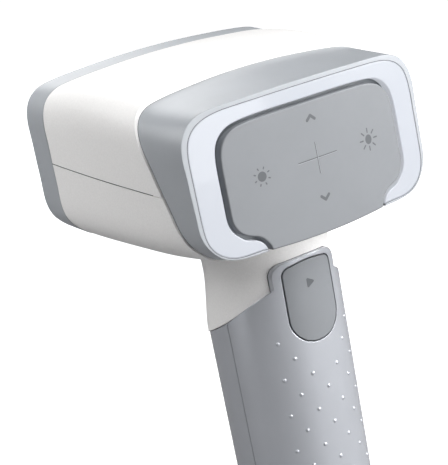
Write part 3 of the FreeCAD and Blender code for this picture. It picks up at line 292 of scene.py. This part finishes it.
# Outlines below are lists of (x, z) in mm.
def capsule(start, end, radius, steps=8):
    """A stroke with round ends."""
    direction = math.atan2(end[1] - start[1], end[0] - start[0])
    points = []
    for (x, z), turn in ((end, -math.pi / 2), (start, math.pi / 2)):
        for k in range(steps + 1):
            angle = direction + turn + math.pi * k / steps
            points.append((x + radius * math.cos(angle), z + radius * math.sin(angle)))
    return points


def disc(x, radius_x, radius_z, count=28):
    """An ellipse centred at height 0."""
    angles = [2 * math.pi * k / count for k in range(count)]
    return [(x + radius_x * math.cos(a), radius_z * math.sin(a)) for a in angles]


def rounded_triangle(x, z, size, radius, steps=6):
    """An equilateral triangle pointing to +X with rounded corners."""
    corners = [(x + size, z), (x - size * 0.5, z + size * 0.866), (x - size * 0.5, z - size * 0.866)]
    points = []
    for corner_x, corner_z in corners:
        outward = math.atan2(corner_z - z, corner_x - x)
        arc_x = corner_x - 2 * radius * math.cos(outward)
        arc_z = corner_z - 2 * radius * math.sin(outward)
        for k in range(steps + 1):
            angle = outward - math.pi / 3 + 2 * math.pi / 3 * k / steps
            points.append((arc_x + radius * math.cos(angle), arc_z + radius * math.sin(angle)))
    return points


# ------------------------------------------------------------------ marks on the control pad
PAD_ORIGIN = Vector((0.0, -42.07, 201.2))
PAD_LEAN = math.radians(-1.95)  # the top leans to the front
PAD_FRAME = Matrix.Translation(PAD_ORIGIN) @ Matrix.Rotation(PAD_LEAN, 4, "X")
PAD_RADIUS = 329.4
PAD_CURVE = 1.0 / (2.0 * PAD_RADIUS)  # parabola close to the pad's arc
PAD_BASE_Y = -0.41

PRINT_LIFT = 0.03
CHEVRON_Z = 13.65
CHEVRON_HALF_WIDTH = 1.55
CHEVRON_FOOT = 0.75  # from the chevron's z to its feet, towards the pad's centre
CHEVRON_TIP = 0.65
CHEVRON_STROKE = 0.5
CHEVRON_LIFTS = (PRINT_LIFT, 0.036)  # the two strokes overlap at the tip
SUN_X = 22.4
SUN_RAYS = 8
CROSS_HALF_X = 8.1
CROSS_HALF_Z = 5.3


def on_pad(outline, lift):
    """Lay an outline on the pad's curved face, raised towards the rear by lift."""
    return [(PAD_FRAME @ Vector((x, PAD_CURVE * x * x + PAD_BASE_Y - lift, z))) * MM
            for x, z in outline]


def chevron(side):
    """Two strokes pointing away from the centre; side is 1 above it and -1 below it."""
    z = CHEVRON_Z * side
    left = (-CHEVRON_HALF_WIDTH, z - CHEVRON_FOOT * side)
    tip = (0.0, z + CHEVRON_TIP * side)
    right = (CHEVRON_HALF_WIDTH, z - CHEVRON_FOOT * side)
    return [on_pad(capsule(start, end, CHEVRON_STROKE), lift)
            for (start, end), lift in zip(((left, tip), (tip, right)), CHEVRON_LIFTS)]


def sun(x, radius_x, radius_z, ray_start, ray_end, ray_stroke, turn):
    """A disc with rays around it."""
    faces = [on_pad(disc(x, radius_x, radius_z), PRINT_LIFT)]
    for k in range(SUN_RAYS):
        angle = 2 * math.pi * k / SUN_RAYS + turn
        start, end = ((x + reach * math.cos(angle), reach * math.sin(angle))
                      for reach in (ray_start, ray_end))
        faces.append(on_pad(capsule(start, end, ray_stroke), PRINT_LIFT))
    return faces


def strip(x0, z0, x1, z1, lift, steps=10):
    """A thin strip on the pad, split along its length so that it follows the curve."""
    along_x = abs(x1 - x0) > abs(z1 - z0)
    faces = []
    for k in range(steps):
        left, right, low, high = x0, x1, z0, z1
        if along_x:
            left = x0 + (x1 - x0) * k / steps
            right = x0 + (x1 - x0) * (k + 1) / steps
        else:
            low = z0 + (z1 - z0) * k / steps
            high = z0 + (z1 - z0) * (k + 1) / steps
        faces.append(on_pad([(left, low), (right, low), (right, high), (left, high)], lift))
    return faces


def cross(z_span, x_span, lifts):
    """A bar along X over z_span and a bar along Z over x_span."""
    return (strip(-CROSS_HALF_X, z_span[0], CROSS_HALF_X, z_span[1], lifts[0])
            + strip(x_span[0], -CROSS_HALF_Z, x_span[1], CROSS_HALF_Z, lifts[1]))


pad_marks = chevron(1) + chevron(-1)
pad_marks += sun(-SUN_X, radius_x=1.65, radius_z=1.65, ray_start=2.55, ray_end=3.05,
                 ray_stroke=0.22, turn=math.pi / SUN_RAYS)
pad_marks += sun(SUN_X, radius_x=1.4, radius_z=1.65, ray_start=2.45, ray_end=3.75,
                 ray_stroke=0.24, turn=0.0)
piece("pad_marks", pad_marks, MATERIALS["icon_grey"], "pad")

# The cross is engraved: its shaded wall is painted as a dark line and its lit wall as a light line
# beside it.
painted_cross_shade = cross(z_span=(0.02, 0.30), x_span=(-0.30, -0.02), lifts=(0.012, 0.018))
painted_cross_highlight = cross(z_span=(-0.22, 0.0), x_span=(0.0, 0.22), lifts=(0.010, 0.016))
piece("pad_cross_shade", painted_cross_shade, MATERIALS["icon_grey"], "pad")
piece("pad_cross_light", painted_cross_highlight, MATERIALS["icon_light"], "pad")

# ------------------------------------------------------------------ mark on the button
# The grip is a superellipse in plan that widens slowly with height.
GRIP_HALF_X = 23.8
GRIP_HALF_Y = 25.9
GRIP_POWER = 2.2
GRIP_SIZE_Z = 137.0  # height at which the half sizes hold
GRIP_TAPER = 0.00021  # growth per mm of height


def grip_section(z):
    """Scale and half sizes of the grip at height z."""
    scale = 1.0 + GRIP_TAPER * (z - GRIP_SIZE_Z)
    return scale, GRIP_HALF_X * scale, GRIP_HALF_Y * scale


def on_grip_rear(x, z, lift):
    _, half_x, half_y = grip_section(z)
    y = -half_y * (1 - (abs(x) / half_x) ** GRIP_POWER) ** (1.0 / GRIP_POWER)
    return Vector((x, y - lift, z)) * MM


play_outline = rounded_triangle(x=-0.6, z=154.9, size=2.3, radius=0.42)
play_mark = [on_grip_rear(x, z, lift=0.04) for x, z in play_outline]
piece("button_mark", [play_mark], MATERIALS["icon_grey"], "button")

# ------------------------------------------------------------------ seam lines painted as shade in the gaps, in metres
CAD_WELD = 1e-6
STRIP_WELD = 5e-5
SHORTEST_EDGE = 2e-5
SMALLEST_FACE = 1e-10
FLATTEST_EDGE = 0.7  # cosine between the faces above which an edge is too flat


def seam(name, node, on_seam, width, lift, material):
    """Thin dark strips, painted shade of the gap, along the edges of a part chosen by on_seam(skin,
    other, middle).

    skin is the normal of the face that carries the strip, other that of its neighbour.
    """
    world = NODES[node].matrix_world
    turn = world.to_3x3()
    bm = bmesh.new()
    bm.from_mesh(NODES[node].data)
    bmesh.ops.remove_doubles(bm, verts=bm.verts, dist=CAD_WELD)
    strips = []
    for edge in bm.edges:
        if len(edge.link_faces) != 2 or edge.calc_length() < SHORTEST_EDGE:
            continue
        if any(face.calc_area() < SMALLEST_FACE for face in edge.link_faces):
            continue
        face, other_face = edge.link_faces
        skin = (turn @ face.normal).normalized()
        other = (turn @ other_face.normal).normalized()
        if skin.dot(other) > FLATTEST_EDGE:
            continue
        start, end = (world @ vert.co for vert in edge.verts)
        middle = (start + end) * 0.5
        if not on_seam(skin, other, middle):
            if not on_seam(other, skin, middle):
                continue
            face, skin = other_face, other
        side = (end - start).normalized().cross(skin).normalized() * (width * 0.5)
        inward = (world @ face.calc_center_median()) - middle
        if inward.dot(side) > 0:
            side = -side
        up = skin * lift
        strips.append([start - side + up, end - side + up, end + side + up, start + side + up])
    bm.free()
    if strips:
        piece(name, strips, MATERIALS[material], "body", STRIP_WELD)


def on_parting(skin, other, middle):
    """The lower edge of the upper shell, on the outer sides of the head."""
    return (other.z <= -0.8 and abs(skin.z) <= 0.5 and middle.y >= -0.02
            and abs(skin.x) >= 0.7 and skin.x * middle.x > 0 and abs(middle.x) >= 0.040)


def on_collar_front(skin, other, middle):
    """The front edge of the collar, where it meets the white shells."""
    if other.y < 0.55 or abs(skin.y) > 0.5:
        return False
    out = Vector((middle.x, 0.0, middle.z - 0.2025))
    if out.length < 0.02 or out.normalized().dot(skin) < 0.35:
        return False
    return abs(middle.x) >= 0.046 or abs(middle.z - 0.2025) >= 0.021


def on_collar_rim(skin, other, middle):
    """The inner edge of the collar's rear rim, where the light ring starts."""
    if middle.y > -0.0375 or skin.y > -0.25 or abs(other.y) > 0.35:
        return False
    out = Vector((middle.x, 0.0, middle.z - 0.2012))
    return out.normalized().dot(other) <= -0.3


# Dark and grey strips that paint the shade in the gaps at the parting line, the collar's front edge
# and the ring's edge.
seam("parting_line_shadow", "head_upper_shell", on_parting, width=0.00030, lift=0.00003,
     material="gap_dark")
seam("collar_seam_shadow", "rear_collar", on_collar_front, width=0.00026, lift=0.00004,
     material="seam_grey")
seam("ring_seam_shadow", "rear_collar", on_collar_rim, width=0.00024, lift=0.00004,
     material="seam_grey")

# ------------------------------------------------------------------ smooth shading
CREASE_ANGLE = math.radians(28.0)
SMOOTH_PARTS = [
    "rear_collar", "head_upper_shell", "head_lower_shell", "front_bezel", "light_ring",
    "control_pad", "handle_rear_shell", "handle_front_shell", "handle_end_cap",
    "scan_button", "front_panel",
]


def smooth(obj):
    """Smooth shading with creases kept sharp."""
    mesh = obj.data
    if mesh.has_custom_normals:
        bpy.context.view_layer.objects.active = obj
        for selected in bpy.context.selected_objects:
            selected.select_set(False)
        obj.select_set(True)
        bpy.ops.mesh.customdata_custom_splitnormals_clear()
    mesh.polygons.foreach_set("use_smooth", [True] * len(mesh.polygons))
    mesh.set_sharp_from_angle(angle=CREASE_ANGLE)


def grip_normals(obj):
    """Exact normals for the grip's smooth surface; faces off that surface keep their own."""
    surface_gap = 0.06  # mm from the superellipse within which a vertex counts as on it
    tiny_face = 5e-8  # m2; smaller faces are not tested for direction
    mesh = obj.data
    to_local = obj.matrix_world.to_3x3().inverted()
    power = GRIP_POWER
    exact = {}
    for vert in mesh.vertices:
        point = (obj.matrix_world @ vert.co) * 1000.0
        scale, half_x, half_y = grip_section(point.z)
        level = (abs(point.x) / half_x) ** power + (abs(point.y) / half_y) ** power
        if not 0.6 < level < 1.4:
            continue
        sign_x = 1 if point.x >= 0 else -1
        sign_y = 1 if point.y >= 0 else -1
        gradient = Vector((
            power * abs(point.x) ** (power - 1) / half_x ** power * sign_x,
            power * abs(point.y) ** (power - 1) / half_y ** power * sign_y,
            -power * level * GRIP_TAPER / scale,
        ))
        if gradient.length > 0 and abs(level - 1.0) / gradient.length < surface_gap:
            exact[vert.index] = (to_local @ gradient).normalized()
    normals = [corner.vector.copy() for corner in mesh.corner_normals]
    for face in mesh.polygons:
        if not all(index in exact for index in face.vertices):
            continue
        if face.area < tiny_face or face.normal.dot(exact[face.vertices[0]]) > 0.9:
            for loop in face.loop_indices:
                normals[loop] = exact[mesh.loops[loop].vertex_index]
    mesh.normals_split_custom_set(normals)


for name in SMOOTH_PARTS:
    smooth(NODES[name])
for name in ("handle_rear_shell", "handle_front_shell"):
    grip_normals(NODES[name])

# ------------------------------------------------------------------ floor
FLOOR_HALF = 15.0
FLOOR_Z = -0.0002


def floor_material():
    """Near white with a glow that grows outwards to the camera, mid grey to other rays."""
    surface = Surface("pale_floor")
    surface.rough(0.8)
    distance = surface.node("ShaderNodeVectorMath", {0: surface.coord}, operation="LENGTH")
    # Glow strength by distance in metres from the origin.
    glow = surface.ramp(distance.outputs["Value"],
                        [(0.0, grey(0.38)), (0.45, grey(0.5)), (1.0, grey(0.98))])
    camera_ray = surface.node("ShaderNodeLightPath").outputs["Is Camera Ray"]
    seen_glow = surface.node("ShaderNodeMath", {0: camera_ray, 1: glow}, operation="MULTIPLY")
    surface.feed("Emission Strength", seen_glow.outputs["Value"])
    tone = camera_switch(surface.tree, camera_ray,
                         unseen=(0.28, 0.28, 0.285, 1), seen=srgb(248, 248, 249))
    surface.feed("Base Color", tone)
    return surface.done(Emission_Color=(1, 1, 1, 1))


floor_mesh = bpy.data.meshes.new("floor")
floor_corners = [(x * FLOOR_HALF, y * FLOOR_HALF, FLOOR_Z)
                 for x, y in ((-1, -1), (1, -1), (1, 1), (-1, 1))]
floor_mesh.from_pydata(floor_corners, [], [(0, 1, 2, 3)])
floor = bpy.data.objects.new("floor", floor_mesh)
bpy.context.scene.collection.objects.link(floor)
floor_mesh.materials.append(floor_material())


# ------------------------------------------------------------------ world
def studio_world():
    """White to the camera, a dim grey dome to all other rays."""
    ambient = 0.06
    world = bpy.data.worlds.new("studio")
    bpy.context.scene.world = world
    world.use_nodes = True
    tree = world.node_tree
    background = tree.nodes["Background"]
    coord = add_node(tree, "ShaderNodeTexCoord").outputs["Generated"]
    split = add_node(tree, "ShaderNodeSeparateXYZ", {"Vector": coord})
    height = add_node(tree, "ShaderNodeMapRange",
                      {"From Min": -0.1, "From Max": 0.9, "Value": split.outputs["Z"]})
    dome = add_node(tree, "ShaderNodeValToRGB", {"Fac": height.outputs["Result"]})
    dome.color_ramp.elements[0].color = (ambient * 0.9, ambient * 0.9, ambient * 0.92, 1)
    dome.color_ramp.elements[1].color = grey(ambient)
    camera_ray = add_node(tree, "ShaderNodeLightPath").outputs["Is Camera Ray"]
    sky = camera_switch(tree, camera_ray, unseen=dome.outputs["Color"], seen=grey(1.0))
    tree.links.new(sky, background.inputs["Color"])
    background.inputs["Strength"].default_value = 1.02


studio_world()

# ------------------------------------------------------------------ lights
MIDDLE = (0.0, 0.0, 0.16)
# Name, place, target, diameter in m, power in W.
LIGHTS = [
    ("top_soft", (0.05, 0.0, 1.3), MIDDLE, 0.7, 1.6),
    ("rear_high", (0.25, -0.9, 1.0), MIDDLE, 0.7, 13.0),
    ("right_soft", (0.95, -0.85, 0.45), MIDDLE, 0.7, 15.0),
    ("rear_low", (0.30, -1.15, 0.12), (0.0, 0.0, 0.12), 0.5, 4.5),
    ("left_near", (-0.32, 0.14, 0.42), (-0.05, 0.03, 0.19), 0.22, 0.86),
    ("left_far", (-1.2, 0.3, 0.5), MIDDLE, 0.7, 0.9),
    ("left_low", (-0.45, 0.15, 0.08), (0.0, 0.0, 0.11), 0.25, 0.14),
    ("front_soft", (0.35, 1.15, 0.9), MIDDLE, 0.8, 4.6),
]
for name, place, target, diameter, power in LIGHTS:
    light = bpy.data.lights.new(name, "AREA")
    light.shape = "DISK"
    light.size = diameter
    light.energy = power
    lamp = bpy.data.objects.new(name, light)
    bpy.context.scene.collection.objects.link(lamp)
    lamp.location = place
    lamp.rotation_euler = (Vector(target) - Vector(place)).to_track_quat("-Z", "Y").to_euler()
    lamp.visible_camera = False

# ------------------------------------------------------------------ camera
# The camera's own axes and its place, in scene coordinates.
CAMERA_RIGHT = Vector((0.812518, -0.553323, -0.183437))
CAMERA_UP = Vector((0.302138, 0.130626, 0.944272))
CAMERA_BACK = Vector((-0.498526, -0.822661, 0.273316))
CAMERA_PLACE = Vector((-0.249158, -0.386222, 0.302485))

view = bpy.data.cameras.new("view")
view.sensor_fit = "AUTO"
view.sensor_width = 36.0
view.lens = 102.654
view.clip_start = 0.01
view.clip_end = 60.0
camera = bpy.data.objects.new("view", view)
bpy.context.scene.collection.objects.link(camera)
camera_turn = Matrix((CAMERA_RIGHT, CAMERA_UP, CAMERA_BACK)).transposed().to_4x4()
camera.matrix_world = Matrix.Translation(CAMERA_PLACE) @ camera_turn

scene = bpy.context.scene
scene.camera = camera
scene.view_settings.view_transform = "Standard"
scene.view_settings.look = "None"
scene.view_settings.exposure = 0.0

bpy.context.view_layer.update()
